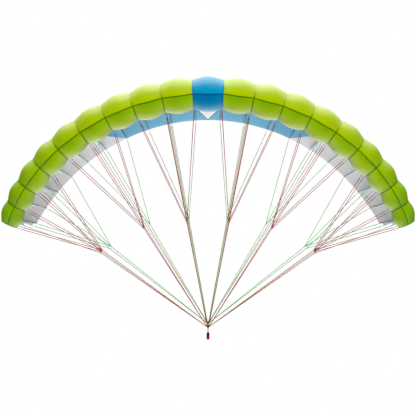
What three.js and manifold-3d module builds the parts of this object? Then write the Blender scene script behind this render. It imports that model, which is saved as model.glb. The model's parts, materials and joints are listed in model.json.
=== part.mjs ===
// Parawing: a single-skin canopy with ribs, its lines and its hand bar, in flown shape
// Millimetres, +X right along the span, +Y from the nose to the trailing edge, +Z up
// The origin is the middle of the hand bar
import * as THREE from 'three';
import { mergeVertices } from 'three/addons/utils/BufferGeometryUtils.js';
import Module from 'manifold-3d';

// Canopy seen from the front and from above
const ARCH_RADIUS = 1785; // arc of the nose line
const SIDE_CELLS = 9; // cells on each side of the middle one
const MIDDLE_CELL = 237; // width along the arc
const TIP_CELL = 166;
const MIDDLE_CHORD = 1150; // nose to trailing edge
const TIP_SWEEP = 208; // the tip's nose lies this far behind the middle one
const SWEEP_POWER = 4.5; // how late along the span the nose sweeps back
const TIP_TRIM = 205; // the tip's trailing edge lies this far ahead of the middle one
const TRIM_POWER = 2;

// Section of the middle cell
const CROWN = 167; // height of the top above the nose
const CROWN_PLACE = 0.281; // share of the chord where the top is highest
const LIP_RADIUS = 94; // the cloth turns under the nose by a quarter circle
const TAIL_DROP = 24; // the trailing edge lies this far below the nose
const BILLOW = 0.12; // rise of the cloth between two ribs, as a share of the cell's width

// Cloth
const CLOTH = 1.2;
const GAP = 0.3; // between neighbouring pieces
const RIB_GAP = 0.6; // between a rib's upper edge and the cloth
const CELL_COLUMNS = 4; // flats across one cell
const PANEL_SEAM = 0.68; // station of the seam between the front and the rear cloth
const FRONT_STATIONS = [-1, -0.67, -0.33, 0, 0.14, 0.28, 0.42, 0.55, PANEL_SEAM];
const REAR_STATIONS = [PANEL_SEAM, 0.79, 0.9, 0.994, 1];
const BLUE_RIB = 4; // the blue rear cloth ends at this rib on the trailing edge
const BLUE_FLARE = 340; // it is wider by this much at the seam, on each side
const INLAY = { width: 255, length: 290, hem: 10 }; // white triangle that points to the trailing edge

// Line tabs on the ribs: share of the chord, depth of the rib as a share of the chord,
// and how far the lower edge rises on the way to the next tab
const FULL_RIB = [
  { row: 'a', back: 0.1, depth: 0.208, arch: 0.04 },
  { row: 'b', back: 0.25, depth: 0.205, arch: 0.075 },
  { row: 'c', back: 0.43, depth: 0.19, arch: 0.065 },
  { row: 'd', back: 0.68, depth: 0.13, arch: 0.02 },
  { row: 'tail', back: 0.981, depth: 0.01, arch: 0 },
];
const SHORT_RIB = [
  { row: 'a', back: 0.1, depth: 0.208, arch: 0.04 },
  { row: 'b', back: 0.25, depth: 0.205, arch: 0.05 },
  { row: 'tail', back: 0.981, depth: 0.01, arch: 0 },
];
const FULL_RIBS = [2, 5, 8, 10];
const TAB_WIDTH = 14;
const ARCH_STEPS = 4; // flats of the lower edge between two tabs

// Lines: each group of ribs hangs from one knot, at a share of the way up from the bar.
// A moved row hangs from the hitch of another row, and its knot leans to the inner of its two ribs
const LINE_GROUPS = [
  { ribs: [1, 2, 3], knot: 0.495, moved: {} },
  { ribs: [4, 5, 6], knot: 0.545, moved: {} },
  {
    ribs: [7, 8, 9, 10],
    knot: 0.604,
    moved: { c: { onto: 'b', inner: 0.55 }, d: { onto: 'tail', inner: 0.77 } },
  },
];
const UPPER_LINE = 4; // diameters
const MAIN_LINE = 4.8;
const KNOT = 8;
const HITCH = 6.6; // knot of a set of lines on its leader
const LINE_SIDES = 6;

// Line sets: the bar's end that carries them, and the hitch's place around the leader in degrees
const LINE_SETS = [
  { row: 'a', end: 'front', turn: 225, colour: 0x8e1020 },
  { row: 'b', end: 'front', turn: 135, colour: 0x8e1020 },
  { row: 'c', end: 'rear', turn: 240, colour: 0xa09a4a },
  { row: 'd', end: 'rear', turn: 180, colour: 0xa09a4a },
  { row: 'tail', end: 'rear', turn: 120, colour: 0x2f9a4a },
];

// Hand bar
const BAR_LENGTH = 360;
const BAR_DIAMETER = 24;
const BAR_TILT = 6.4; // degrees, rear end down
const BAR_BEHIND_NOSE = 353; // middle of the bar
const BAR_BELOW_CENTRE = 146; // below the centre of the canopy's arc
const CAP_LENGTH = 20;
const CAP_EDGE = 3; // rounded edge
const RED_SHARE = 0.6; // red length of the grips, from the front
const BAR_SIDES = 20;
const LEADER = 6; // diameter
const LEADER_SEAT = 9; // how deep the leader goes into the cap
const LEADER_LENGTH = 86; // from the bar's axis to the hitches
const STOPPER = { diameter: 9.5, length: 14 }; // knot on top of the leader

const wasm = await Module();
wasm.setup();

const archCentre = new THREE.Vector3(0, -BAR_BEHIND_NOSE, BAR_BELOW_CENTRE);
const upAxis = new THREE.Vector3(0, 1, 0); // a cylinder's own axis
const ribAngles = spacedRibs();
const tipAngle = ribAngles.at(-1);

function spacedRibs() {
  let angle = MIDDLE_CELL / 2 / ARCH_RADIUS;
  const angles = [0, angle];
  for (let cell = 1; cell <= SIDE_CELLS; cell += 1) {
    const narrowing = (MIDDLE_CELL - TIP_CELL) * (cell / SIDE_CELLS) ** 2;
    angle += (MIDDLE_CELL - narrowing) / ARCH_RADIUS;
    angles.push(angle);
  }
  return angles;
}

// Nose and chord at an angle of the arch
function planform(angle) {
  const share = Math.abs(angle) / tipAngle;
  const nose = TIP_SWEEP * share ** SWEEP_POWER;
  const tail = MIDDLE_CHORD - TIP_TRIM * share ** TRIM_POWER;
  return { nose, chord: tail - nose };
}

// Section of unit chord: stations -1 to 0 run round the lip, 0 to 1 over the top to the tail
function section(station) {
  const drop = TAIL_DROP / MIDDLE_CHORD;
  if (station <= 0) {
    const turn = -station * Math.PI / 2;
    const lip = LIP_RADIUS / MIDDLE_CHORD;
    const back = lip * (1 - Math.cos(turn));
    const up = -lip * Math.sin(turn) - drop * back;
    return { back, up, normalBack: -Math.cos(turn), normalUp: -Math.sin(turn) };
  }
  const power = (1 / CROWN_PLACE - 1) / 2;
  const peak = Math.sqrt(CROWN_PLACE) * (1 - CROWN_PLACE) ** power;
  const scale = CROWN / MIDDLE_CHORD / peak;
  const back = station ** 2;
  const taper = (1 - back) ** power;
  const bend = 2 * power * back * (1 - back) ** (power - 1);
  const up = scale * station * taper - drop * back;
  const rise = scale * (taper - bend) - 2 * drop * station;
  const run = 2 * station;
  const length = Math.hypot(rise, run);
  return { back, up, normalBack: -rise / length, normalUp: run / length };
}

// A cell's two ribs around an angle
function cellAround(angle) {
  const size = Math.abs(angle);
  const reached = ribAngles.findIndex((rib, index) => index > 0 && rib >= size);
  const outer = reached < 0 ? SIDE_CELLS + 1 : reached;
  if (outer === 1) {
    return { from: -ribAngles[1], to: ribAngles[1], at: angle };
  }
  return { from: ribAngles[outer - 1], to: ribAngles[outer], at: size };
}

// Point of the canopy in the plane of one angle: back and up from the middle of the arch
function skinPlace(angle, station, inset) {
  const { nose, chord } = planform(angle);
  const { back, up, normalBack, normalUp } = section(station);
  const cell = cellAround(angle);
  const across = THREE.MathUtils.clamp((cell.at - cell.from) / (cell.to - cell.from), 0, 1);
  const bulge = 4 * across * (1 - across) * BILLOW * (cell.to - cell.from) * ARCH_RADIUS;
  const fade = station > 0 ? 1 - back : 1;
  const offset = bulge * fade - inset;
  return new THREE.Vector2(
    nose + back * chord + normalBack * offset,
    ARCH_RADIUS + up * chord + normalUp * offset,
  );
}

function ontoArch(angle, place) {
  const point = new THREE.Vector3(place.y * Math.sin(angle), place.x, place.y * Math.cos(angle));
  return point.add(archCentre);
}

// Closed sheet of cloth over a grid of angles and stations
function sheetGeometry(angles, stations) {
  const columns = angles.length;
  const rows = stations.length;
  const points = [];
  for (const inset of [0, CLOTH]) {
    for (const station of stations) {
      for (const angle of angles) {
        points.push(ontoArch(angle, skinPlace(angle, station, inset)));
      }
    }
  }
  const outer = (row, column) => row * columns + column;
  const inner = (row, column) => rows * columns + outer(row, column);
  const faces = [];
  for (let row = 0; row < rows - 1; row += 1) {
    for (let column = 0; column < columns - 1; column += 1) {
      const square = [[row, column], [row, column + 1], [row + 1, column + 1], [row + 1, column]];
      const [a, b, c, d] = square.map((corner) => outer(...corner));
      const [e, f, g, h] = square.map((corner) => inner(...corner));
      faces.push(a, b, c, a, c, d, e, g, f, e, h, g);
    }
  }
  const rim = [];
  for (let column = 0; column < columns - 1; column += 1) rim.push([0, column]);
  for (let row = 0; row < rows - 1; row += 1) rim.push([row, columns - 1]);
  for (let column = columns - 1; column > 0; column -= 1) rim.push([rows - 1, column]);
  for (let row = rows - 1; row > 0; row -= 1) rim.push([row, 0]);
  rim.forEach((corner, index) => {
    const next = rim[(index + 1) % rim.length];
    const [a, b] = [outer(...corner), outer(...next)];
    const [c, d] = [inner(...corner), inner(...next)];
    faces.push(a, c, d, a, d, b);
  });
  const geometry = new THREE.BufferGeometry().setFromPoints(points);
  geometry.setIndex(faces);
  return geometry;
}

function spread(from, to, steps) {
  return Array.from({ length: steps + 1 }, (unused, step) => from + (to - from) * step / steps);
}

// Angles across several cells, from one signed rib to another
function acrossCells(fromRib, toRib) {
  const angles = [];
  for (let rib = fromRib; rib < toRib; rib += 1) {
    if (rib === 0) continue;
    const next = rib === -1 ? 1 : rib + 1;
    angles.push(...spread(signedRib(rib), signedRib(next), CELL_COLUMNS).slice(0, -1));
  }
  angles.push(signedRib(toRib));
  return angles;
}

function signedRib(rib) {
  return Math.sign(rib) * ribAngles[Math.abs(rib)];
}

// Solids for joining and cutting
function solid(geometry) {
  const bare = geometry.clone();
  bare.deleteAttribute('normal');
  bare.deleteAttribute('uv');
  const merged = mergeVertices(bare);
  const vertProperties = merged.attributes.position.array;
  const triVerts = Uint32Array.from(merged.index.array);
  return new wasm.Manifold(new wasm.Mesh({ numProp: 3, vertProperties, triVerts }));
}

function geometryOf(body) {
  const { vertProperties, triVerts } = body.getMesh();
  const geometry = new THREE.BufferGeometry();
  geometry.setAttribute('position', new THREE.BufferAttribute(vertProperties, 3));
  geometry.setIndex(new THREE.BufferAttribute(triVerts, 1));
  return geometry;
}

function piece(name, geometry, material) {
  if (!geometry.attributes.normal) geometry.computeVertexNormals();
  const mesh = new THREE.Mesh(geometry, material);
  mesh.name = name;
  return mesh;
}

function finish(colour, roughness) {
  return new THREE.MeshStandardMaterial({ color: colour, roughness, metalness: 0 });
}

const limeCloth = finish(0xa4c400, 0.6);
const blueCloth = finish(0x0a8fc8, 0.6);
const greyCloth = finish(0xc8c8cc, 0.6);
const whiteCloth = finish(0xf4f4f4, 0.6);
const ribCloth = finish(0xb9c7cf, 0.65);
const redGrip = finish(0x96040f, 0.7);
const blackGrip = finish(0x1c1c1e, 0.7);
const blackCord = finish(0x1e1e20, 0.8);

// Front cloth: one panel for each cell, from the lip round the nose to the panel seam
function frontCloth() {
  const group = new THREE.Group();
  const seam = GAP / 2 / ARCH_RADIUS;
  const tipEdge = CLOTH / 2 / ARCH_RADIUS;
  const middle = spread(-ribAngles[1] + seam, ribAngles[1] - seam, CELL_COLUMNS);
  group.add(piece('cell_middle', sheetGeometry(middle, FRONT_STATIONS), blueCloth));
  for (let cell = 1; cell <= SIDE_CELLS; cell += 1) {
    const from = ribAngles[cell] + seam;
    const to = ribAngles[cell + 1] + (cell === SIDE_CELLS ? tipEdge : -seam);
    const left = sheetGeometry(spread(-to, -from, CELL_COLUMNS), FRONT_STATIONS);
    const right = sheetGeometry(spread(from, to, CELL_COLUMNS), FRONT_STATIONS);
    group.add(piece(`cell_left_${cell}`, left, limeCloth));
    group.add(piece(`cell_right_${cell}`, right, limeCloth));
  }
  return group;
}

// A block whose one face is the slanted cut beside the blue cloth, on the side that is taken away
function slantedBlock(side, takesOutside) {
  const tailAngle = side * ribAngles[BLUE_RIB];
  const seamAngle = tailAngle + side * BLUE_FLARE / ARCH_RADIUS;
  const tail = ontoArch(tailAngle, skinPlace(tailAngle, 1, 0));
  const front = ontoArch(seamAngle, skinPlace(seamAngle, PANEL_SEAM, 0));
  const along = front.clone().sub(tail).normalize();
  const middle = (tailAngle + seamAngle) / 2;
  const outward = new THREE.Vector3(Math.sin(middle), 0, Math.cos(middle));
  const away = along.clone().cross(outward).normalize();
  if (away.x * side < 0) away.negate();
  if (!takesOutside) away.negate();
  const size = 4 * ARCH_RADIUS; // larger than the canopy
  const block = new THREE.BoxGeometry(size, size, size);
  const turn = new THREE.Quaternion().setFromUnitVectors(upAxis, away);
  const reach = size / 2 - GAP / 2;
  block.applyQuaternion(turn);
  block.translate(...tail.clone().addScaledVector(away, reach).toArray());
  return solid(block);
}

// Upright prism over the inlay's triangle, with its three sides moved out by an amount
function inlayPrism(grow) {
  const slope = INLAY.width / 2 / INLAY.length;
  const tail = archCentre.y + MIDDLE_CHORD - INLAY.hem;
  const point = tail + grow / Math.sin(Math.atan(slope));
  const base = tail - INLAY.length - grow;
  const half = (point - base) * slope;
  const shape = new THREE.Shape();
  shape.moveTo(0, point);
  shape.lineTo(-half, base);
  shape.lineTo(half, base);
  shape.closePath();
  const height = 2 * ARCH_RADIUS; // reaches above the canopy
  return solid(new THREE.ExtrudeGeometry(shape, { depth: height, bevelEnabled: false }));
}

// Rear cloth: blue in the middle with a white inlay, grey towards both tips
function rearCloth() {
  const group = new THREE.Group();
  const stations = [PANEL_SEAM + GAP / MIDDLE_CHORD, ...REAR_STATIONS.slice(1)];
  const widest = BLUE_RIB + 2;
  const tipEdge = CLOTH / 2 / ARCH_RADIUS;
  const middle = solid(sheetGeometry(acrossCells(-widest, widest), stations));
  const blue = middle
    .subtract(slantedBlock(-1, true))
    .subtract(slantedBlock(1, true))
    .subtract(inlayPrism(GAP / 2));
  group.add(piece('rear_middle', geometryOf(blue), blueCloth));
  group.add(piece('rear_inlay', geometryOf(middle.intersect(inlayPrism(-GAP / 2))), whiteCloth));
  for (const [name, side] of [['left', -1], ['right', 1]]) {
    const ribs = [side * BLUE_RIB, side * (SIDE_CELLS + 1)].sort((a, b) => a - b);
    const angles = acrossCells(...ribs);
    angles[side < 0 ? 0 : angles.length - 1] += side * tipEdge;
    const grey = solid(sheetGeometry(angles, stations)).subtract(slantedBlock(side, false));
    group.add(piece(`rear_${name}`, geometryOf(grey), greyCloth));
  }
  return group;
}

function tabsOf(rib) {
  return FULL_RIBS.includes(rib) ? FULL_RIB : SHORT_RIB;
}

// Underside of the cloth above a place along the chord, in the plane of a rib
function underCloth(angle, back) {
  return skinPlace(angle, Math.sqrt(back), CLOTH + RIB_GAP).y;
}

// Rib: a flat piece with its upper edge under the cloth and arches between its line tabs
function ribGeometry(angle, tabs) {
  const { nose, chord } = planform(angle);
  const halfTab = TAB_WIDTH / 2 / chord;
  const stations = [...FRONT_STATIONS, ...REAR_STATIONS.slice(1, -1)];
  const outline = stations.map((station) => skinPlace(angle, station, CLOTH + RIB_GAP));
  const lower = (back, depth) => new THREE.Vector2(
    nose + back * chord,
    underCloth(angle, back) - depth * chord,
  );
  for (let index = tabs.length - 1; index >= 0; index -= 1) {
    const tab = tabs[index];
    if (index < tabs.length - 1) {
      const behind = tabs[index + 1];
      const [from, to] = [behind.back - halfTab, tab.back + halfTab];
      for (let step = 1; step < ARCH_STEPS; step += 1) {
        const share = step / ARCH_STEPS;
        const depth = behind.depth + (tab.depth - behind.depth) * share;
        const rise = tab.arch * 4 * share * (1 - share);
        outline.push(lower(from + (to - from) * share, depth - rise));
      }
    }
    const level = lower(tab.back, tab.depth).y;
    outline.push(new THREE.Vector2(nose + (tab.back + halfTab) * chord, level));
    outline.push(new THREE.Vector2(nose + (tab.back - halfTab) * chord, level));
  }
  const shape = new THREE.Shape(outline);
  const geometry = new THREE.ExtrudeGeometry(shape, { depth: CLOTH, bevelEnabled: false });
  geometry.translate(0, 0, -CLOTH / 2);
  const chordwise = new THREE.Vector3(0, 1, 0);
  const upward = new THREE.Vector3(0, 0, 1);
  const sideways = new THREE.Vector3(1, 0, 0);
  return geometry.applyMatrix4(new THREE.Matrix4().makeBasis(chordwise, upward, sideways));
}

function ribs() {
  const group = new THREE.Group();
  for (let rib = 1; rib <= SIDE_CELLS + 1; rib += 1) {
    for (const [name, side] of [['left', -1], ['right', 1]]) {
      const angle = side * ribAngles[rib];
      const mesh = piece(`rib_${name}_${rib}`, ribGeometry(angle, tabsOf(rib)), ribCloth);
      mesh.position.copy(archCentre);
      mesh.rotation.y = angle;
      group.add(mesh);
    }
  }
  return group;
}

// Lines: straight strands that are fused at their knots
function strand(from, to, diameter) {
  const length = from.distanceTo(to);
  const cylinder = new THREE.CylinderGeometry(diameter / 2, diameter / 2, length, LINE_SIDES);
  const direction = to.clone().sub(from).normalize();
  cylinder.applyQuaternion(new THREE.Quaternion().setFromUnitVectors(upAxis, direction));
  cylinder.translate(...from.clone().lerp(to, 0.5).toArray());
  return solid(cylinder);
}

function knot(centre, diameter) {
  const ball = new THREE.SphereGeometry(diameter / 2, LINE_SIDES, 4);
  ball.translate(...centre.toArray());
  return solid(ball);
}

// Middle of a tab's lower edge, and the way up into the tab
function tabEdge(rib, side, row) {
  const tab = tabsOf(rib).find((entry) => entry.row === row);
  const angle = side * ribAngles[rib];
  const { nose, chord } = planform(angle);
  const level = underCloth(angle, tab.back) - tab.depth * chord;
  const middle = ontoArch(angle, new THREE.Vector2(nose + tab.back * chord, level));
  return { middle, up: new THREE.Vector3(Math.sin(angle), 0, Math.cos(angle)) };
}

// Top end of a line that comes up from a knot: its rim just clears the tab
function lineTop(from, edge) {
  const along = edge.middle.clone().sub(from).normalize();
  const lean = Math.sqrt(1 - along.dot(edge.up) ** 2);
  return edge.middle.clone().addScaledVector(edge.up, -GAP - lean * UPPER_LINE / 2);
}

// Lines of one row and group: a main line up to a knot and a strand to each tab, or one strand alone
function rowLines(group, row, side, hitch) {
  const carried = group.ribs.filter((rib) => tabsOf(rib).some((tab) => tab.row === row));
  const edges = carried.map((rib) => tabEdge(rib, side, row));
  if (edges.length === 1) return strand(hitch, lineTop(hitch, edges[0]), UPPER_LINE);
  const inner = group.moved[row]?.inner;
  const shares = inner ? [inner, 1 - inner] : edges.map(() => 1 / edges.length);
  const aim = new THREE.Vector3();
  edges.forEach((edge, index) => aim.addScaledVector(edge.middle, shares[index]));
  const meeting = hitch.clone().lerp(aim, group.knot);
  let body = strand(hitch, meeting, MAIN_LINE).add(knot(meeting, KNOT));
  for (const edge of edges) {
    body = body.add(strand(meeting, lineTop(meeting, edge), UPPER_LINE));
  }
  return body;
}

// All lines that hang from one hitch
function lineSet(set, side, hitch) {
  let body = knot(hitch, HITCH);
  for (const group of LINE_GROUPS) {
    for (const { row } of LINE_SETS) {
      const carrier = group.moved[row]?.onto ?? row;
      if (carrier === set.row) body = body.add(rowLines(group, row, side, hitch));
    }
  }
  return geometryOf(body);
}

// Hand bar with its leaders: a group tilted about the middle of the bar
function roundedCylinder(length, radius, edge) {
  const outline = new THREE.Path();
  outline.moveTo(0, 0);
  outline.lineTo(radius - edge, 0);
  outline.absarc(radius - edge, edge, edge, -Math.PI / 2, 0, false);
  outline.lineTo(radius, length);
  outline.lineTo(0, length);
  return new THREE.LatheGeometry(outline.getPoints(CAP_EDGE), BAR_SIDES);
}

const leaderPlace = BAR_LENGTH / 2 - CAP_LENGTH / 2;

function cap() {
  const radius = BAR_DIAMETER / 2;
  const body = solid(roundedCylinder(CAP_LENGTH, radius, CAP_EDGE));
  const hole = new THREE.CylinderGeometry(LEADER / 2 + GAP, LEADER / 2 + GAP, 2 * radius, BAR_SIDES / 2);
  hole.rotateX(Math.PI / 2);
  hole.translate(0, CAP_LENGTH / 2, 2 * radius - LEADER_SEAT);
  return geometryOf(body.subtract(solid(hole)));
}

function leader() {
  const foot = BAR_DIAMETER / 2 - LEADER_SEAT + GAP;
  const top = LEADER_LENGTH + HITCH / 2 + GAP;
  const profile = [
    [0, foot],
    [LEADER / 2, foot],
    [LEADER / 2, top],
    [STOPPER.diameter / 2, top + STOPPER.length / 4],
    [STOPPER.diameter / 2, top + STOPPER.length * 3 / 4],
    [LEADER / 2, top + STOPPER.length],
    [0, top + STOPPER.length],
  ];
  const points = profile.map(([radius, height]) => new THREE.Vector2(radius, height));
  const geometry = new THREE.LatheGeometry(points, BAR_SIDES / 2);
  return geometry.rotateX(Math.PI / 2);
}

function bar() {
  const group = new THREE.Group();
  group.rotation.x = -THREE.MathUtils.degToRad(BAR_TILT);
  const gripLength = BAR_LENGTH - 2 * CAP_LENGTH - 3 * GAP;
  const redLength = gripLength * RED_SHARE;
  const grips = [
    { name: 'bar_grip_front', length: redLength, start: CAP_LENGTH + GAP, material: redGrip },
    {
      name: 'bar_grip_rear',
      length: gripLength - redLength,
      start: CAP_LENGTH + redLength + 2 * GAP,
      material: blackGrip,
    },
  ];
  for (const grip of grips) {
    const radius = BAR_DIAMETER / 2;
    const sleeve = new THREE.CylinderGeometry(radius, radius, grip.length, BAR_SIDES);
    const mesh = piece(grip.name, sleeve, grip.material);
    mesh.position.y = grip.start + grip.length / 2 - BAR_LENGTH / 2;
    group.add(mesh);
  }
  const front = piece('bar_cap_front', cap(), redGrip);
  front.position.y = -BAR_LENGTH / 2;
  const rear = piece('bar_cap_rear', cap(), blackGrip);
  rear.position.y = BAR_LENGTH / 2;
  rear.rotation.z = Math.PI;
  group.add(front, rear);
  for (const [name, place] of [['front', -leaderPlace], ['rear', leaderPlace]]) {
    const mesh = piece(`leader_${name}`, leader(), blackCord);
    mesh.position.y = place;
    group.add(mesh);
  }
  return group;
}

function lines(tilted) {
  const group = new THREE.Group();
  tilted.updateMatrixWorld(true);
  const radius = LEADER / 2 + HITCH / 2 + 2 * GAP;
  for (const set of LINE_SETS) {
    for (const [name, side] of [['left', -1], ['right', 1]]) {
      const turn = THREE.MathUtils.degToRad(set.turn);
      const place = set.end === 'front' ? -leaderPlace : leaderPlace;
      const hitch = new THREE.Vector3(
        -side * radius * Math.cos(turn),
        place + radius * Math.sin(turn),
        LEADER_LENGTH,
      );
      const geometry = lineSet(set, side, tilted.localToWorld(hitch));
      group.add(piece(`lines_${set.row}_${name}`, geometry, finish(set.colour, 0.7)));
    }
  }
  return group;
}

const handBar = bar();
const parawing = new THREE.Group();
parawing.add(frontCloth(), rearCloth(), ribs(), lines(handBar), handBar);

export default parawing;
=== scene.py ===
import json
import math

import bmesh
import bpy
import numpy as np
from mathutils import Matrix, Vector

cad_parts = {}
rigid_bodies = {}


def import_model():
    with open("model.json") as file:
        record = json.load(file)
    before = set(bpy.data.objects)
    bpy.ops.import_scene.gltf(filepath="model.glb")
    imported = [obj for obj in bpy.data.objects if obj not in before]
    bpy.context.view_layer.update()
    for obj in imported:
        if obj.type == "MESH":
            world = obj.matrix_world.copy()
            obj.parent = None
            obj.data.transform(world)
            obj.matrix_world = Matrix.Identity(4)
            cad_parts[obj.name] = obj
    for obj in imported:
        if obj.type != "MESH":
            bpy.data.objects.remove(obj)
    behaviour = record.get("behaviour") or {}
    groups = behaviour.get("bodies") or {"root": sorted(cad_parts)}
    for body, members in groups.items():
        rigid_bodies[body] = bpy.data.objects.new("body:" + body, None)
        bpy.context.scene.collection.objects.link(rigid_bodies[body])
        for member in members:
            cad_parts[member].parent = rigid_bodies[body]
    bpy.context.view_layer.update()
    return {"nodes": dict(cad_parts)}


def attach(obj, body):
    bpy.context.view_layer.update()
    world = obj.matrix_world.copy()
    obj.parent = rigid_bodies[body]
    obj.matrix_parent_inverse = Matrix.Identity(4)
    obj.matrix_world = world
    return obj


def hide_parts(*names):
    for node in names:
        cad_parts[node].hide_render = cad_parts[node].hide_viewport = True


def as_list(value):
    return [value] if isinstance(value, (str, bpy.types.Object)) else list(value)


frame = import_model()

print("frame loaded with", len(frame["nodes"]), "nodes")

# Parawing in metres, +X along the span, +Y from nose to trailing edge, +Z up, bar at the origin
wingSides = {"left": -1, "right": 1}
tolerance = {"weld": 1e-6, "rib": 1e-9, "ring": 1e-5}


def linked(name, data):  # a new object in the scene
    holder = bpy.data.objects.new(name, data)
    bpy.context.scene.collection.objects.link(holder)
    return holder


# Camera, level and straight in front of the canopy
cameraSet = {"lens": 50, "sensor": 36, "place": (0, -4.775, 1.056)}


def addCamera():
    lens = bpy.data.cameras.new("front_camera")
    lens.lens = cameraSet["lens"]
    lens.sensor_width = cameraSet["sensor"]
    holder = linked("front_camera", lens)
    holder.location = cameraSet["place"]
    holder.rotation_euler = (math.pi / 2, 0, 0)
    bpy.context.scene.camera = holder


addCamera()
print("camera placed")


# Node helpers
def tint(red, green, blue):  # a screen colour, 0 to 255
    shares = [value / 255 for value in (red, green, blue)]
    linear = [s / 12.92 if s <= 0.04045 else ((s + 0.055) / 1.055) ** 2.4 for s in shares]
    return (*linear, 1)


def darker(colour, share):
    return tuple(value * share for value in colour[:3]) + (1,)


def feed(tree, socket, value):
    if isinstance(value, bpy.types.NodeSocket):
        tree.links.new(value, socket)
    else:
        socket.default_value = value


def assign(target, settings):
    for label, setting in settings.items():
        setattr(target, label, setting)


def addNode(tree, kind, *values, **settings):  # values go to its first sockets
    node = tree.nodes.new("ShaderNode" + kind)
    assign(node, settings)
    for socket, value in zip(node.inputs, values):
        feed(tree, socket, value)
    return node


def treeOf(*values):  # the node tree of the sockets among the values
    return next(value.id_data for value in values if isinstance(value, bpy.types.NodeSocket))


def work(operation, *values):  # one Math node
    return addNode(treeOf(*values), "Math", *values, operation=operation).outputs[0]


def mixed(share, first, second, spot, **settings):  # one Mix node, fed from its input number spot on
    tree = treeOf(share, first, second)
    mix = addNode(tree, "Mix", share, **settings)
    feed(tree, mix.inputs[spot], first)
    feed(tree, mix.inputs[spot + 1], second)
    return mix


def blendColours(share, first, second, way="MIX"):
    return mixed(share, first, second, 6, data_type="RGBA", blend_type=way).outputs[2]


def blendNumbers(share, first, second):
    return mixed(share, first, second, 2).outputs[0]


def smoothRise(value, start, end, full=1):
    ramp = addNode(value.id_data, "MapRange", value, start, end, 0, full, interpolation_type="SMOOTHSTEP")
    return ramp.outputs[0]


def noise(place, scale, detail=3):
    grain = addNode(place.id_data, "TexNoise", place)
    grain.inputs["Scale"].default_value = scale
    grain.inputs["Detail"].default_value = detail
    return grain.outputs["Fac"]


def uvOf(tree, name):
    return addNode(tree, "UVMap", uv_map=name).outputs["UV"]


def objectPlace(tree):
    return addNode(tree, "TexCoord").outputs["Object"]


def partsOf(vector):
    return addNode(vector.id_data, "SeparateXYZ", vector).outputs


def principled(tree):
    return tree.nodes["Principled BSDF"]


def freshMaterial(name, **sockets):  # sockets named in camelCase, such as baseColor
    material = bpy.data.materials.new(name)
    material.use_nodes = True
    tree = material.node_tree
    for key, value in sockets.items():
        label = "".join(" " + letter if letter.isupper() else letter for letter in key).title()
        principled(tree).inputs[label.replace("Ior", "IOR")].default_value = value
    return material, tree


def finishMaterial(material, colour, height, finish):  # colour and bumps go to the shader
    tree = material.node_tree
    bump = addNode(tree, "Bump")
    bump.inputs["Distance"].default_value = finish["bump"]
    bump.inputs["Strength"].default_value = finish["bumpStrength"]
    tree.links.new(height, bump.inputs["Height"])
    tree.links.new(bump.outputs["Normal"], principled(tree).inputs["Normal"])
    tree.links.new(colour, principled(tree).inputs["Base Color"])
    return material


# Ripstop cloth: thicker threads in small squares, crinkles and two rows of stitches at the seams
ripstop = {
    "square": 0.005, "thread": 0.08, "threadSoft": 0.3, "threadShade": 0.14, "roughness": 0.4,
    "mottle": 2.5, "mottleShade": 0.07, "crinkle": 60, "crinkleDetail": 4,
    "seamRows": (0.0035, 0.0075), "hemRow": 0.0095,
    "stitch": 0.004, "stitchShare": 0.66, "stitchHalf": 0.0005,
    "bump": 0.0006, "bumpStrength": 0.35, "threadRise": 0.2, "stitchRise": 0.8, "glossFacing": (0.04, 0.3),
    "tipShadeFade": (0.95, 1.85), "hemSheenFade": (0.06, 0.18), "hemSheenTip": (1.4, 0.87), "hemSheenEdge": (0.11, 0.004),
}


def stitches(distance, along, rows):
    dash = work("FRACT", work("DIVIDE", along, ripstop["stitch"]))
    dash = work("LESS_THAN", dash, ripstop["stitchShare"])
    line = 0.0
    for row in rows:
        near = work("COMPARE", distance, row, ripstop["stitchHalf"])
        line = work("MAXIMUM", line, near)
    return work("MULTIPLY", line, dash)


def glossAtEdges(tree, gloss):  # the coating shines at a slant, not square on
    facing = addNode(tree, "LayerWeight").outputs["Facing"]
    shine = smoothRise(facing, *ripstop["glossFacing"], gloss)
    tree.links.new(shine, principled(tree).inputs["Specular IOR Level"])


def threadGrid(cloth):
    squares = addNode(cloth.id_data, "TexBrick", cloth, offset=0)
    for label, value in {"Scale": 1 / ripstop["square"], "Mortar Size": ripstop["thread"] / 2,
                         "Mortar Smooth": ripstop["threadSoft"], "Brick Width": 1, "Row Height": 1}.items():
        squares.inputs[label].default_value = value
    return squares.outputs["Fac"]


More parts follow.
